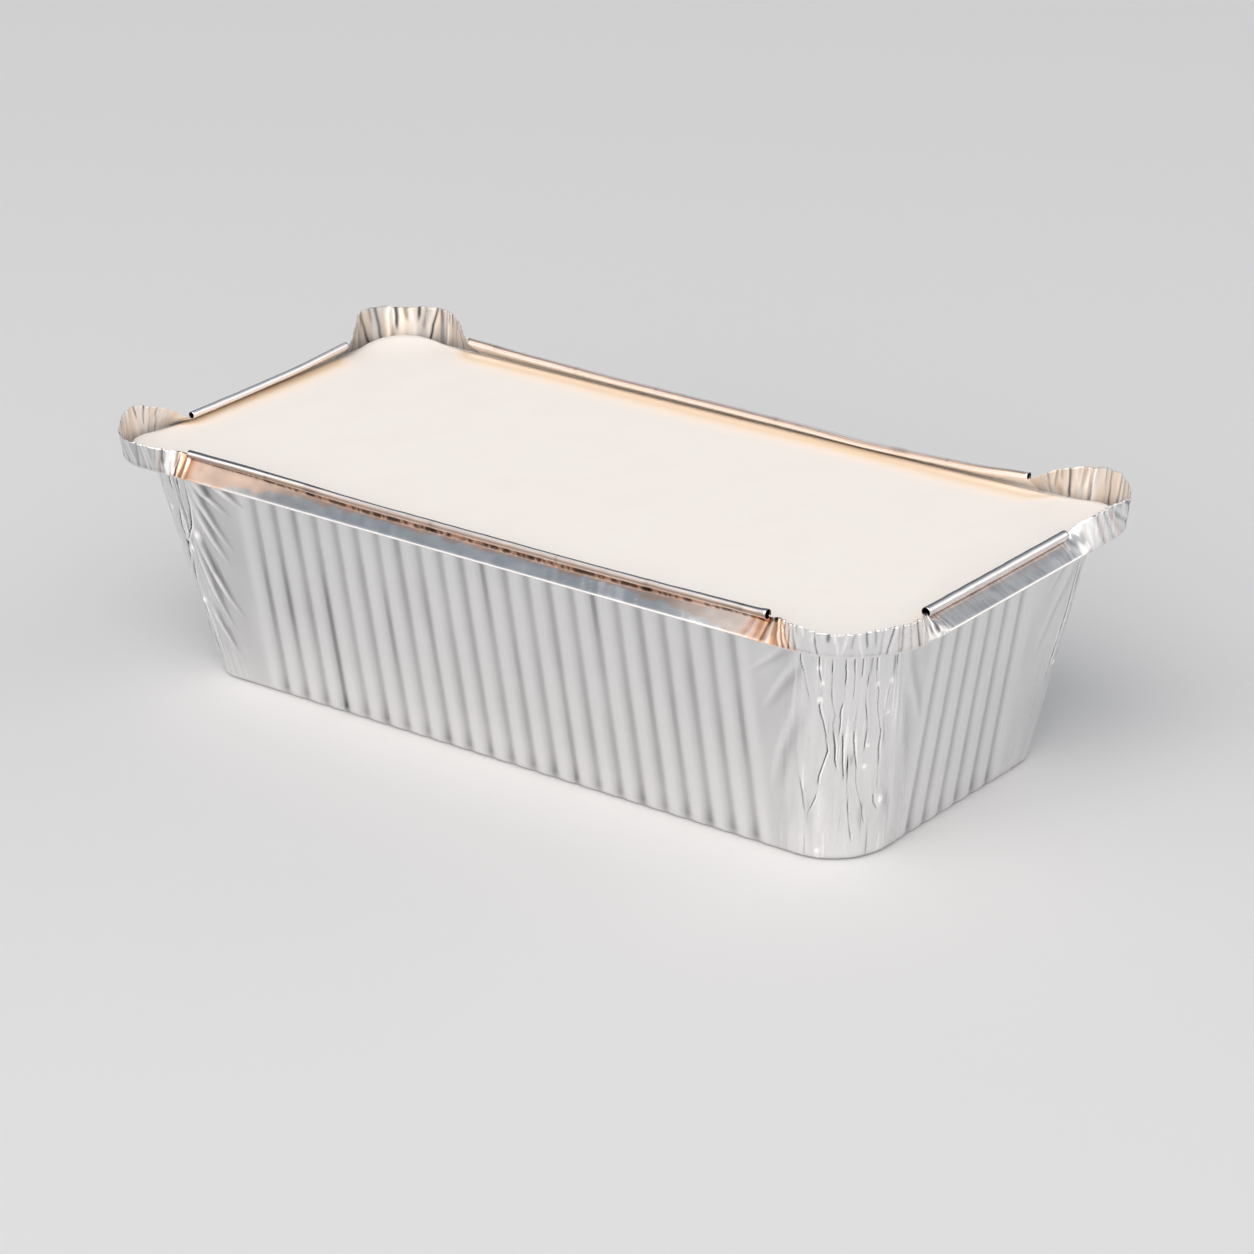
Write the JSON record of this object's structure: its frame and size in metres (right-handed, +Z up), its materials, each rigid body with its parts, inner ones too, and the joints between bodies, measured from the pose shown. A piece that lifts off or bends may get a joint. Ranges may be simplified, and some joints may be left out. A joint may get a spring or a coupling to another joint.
{
  "type": "foil food container",
  "caption": "Oblong ribbed foil food tray with pleated corners, its rolled rim folded in over a plain board lid.",
  "frame": {"origin": "middle of the base's underside", "axes": "+X along the length, +Y to the back, +Z up through the lid"},
  "size_m": [0.2032, 0.1004, 0.0588],
  "materials": {
    "foil": "satin rolled foil",
    "board": "matt uncoated"
  },
  "bodies": {
    "root": {"foil_tray": "foil", "board_lid": "board"}
  },
  "joints": []
}
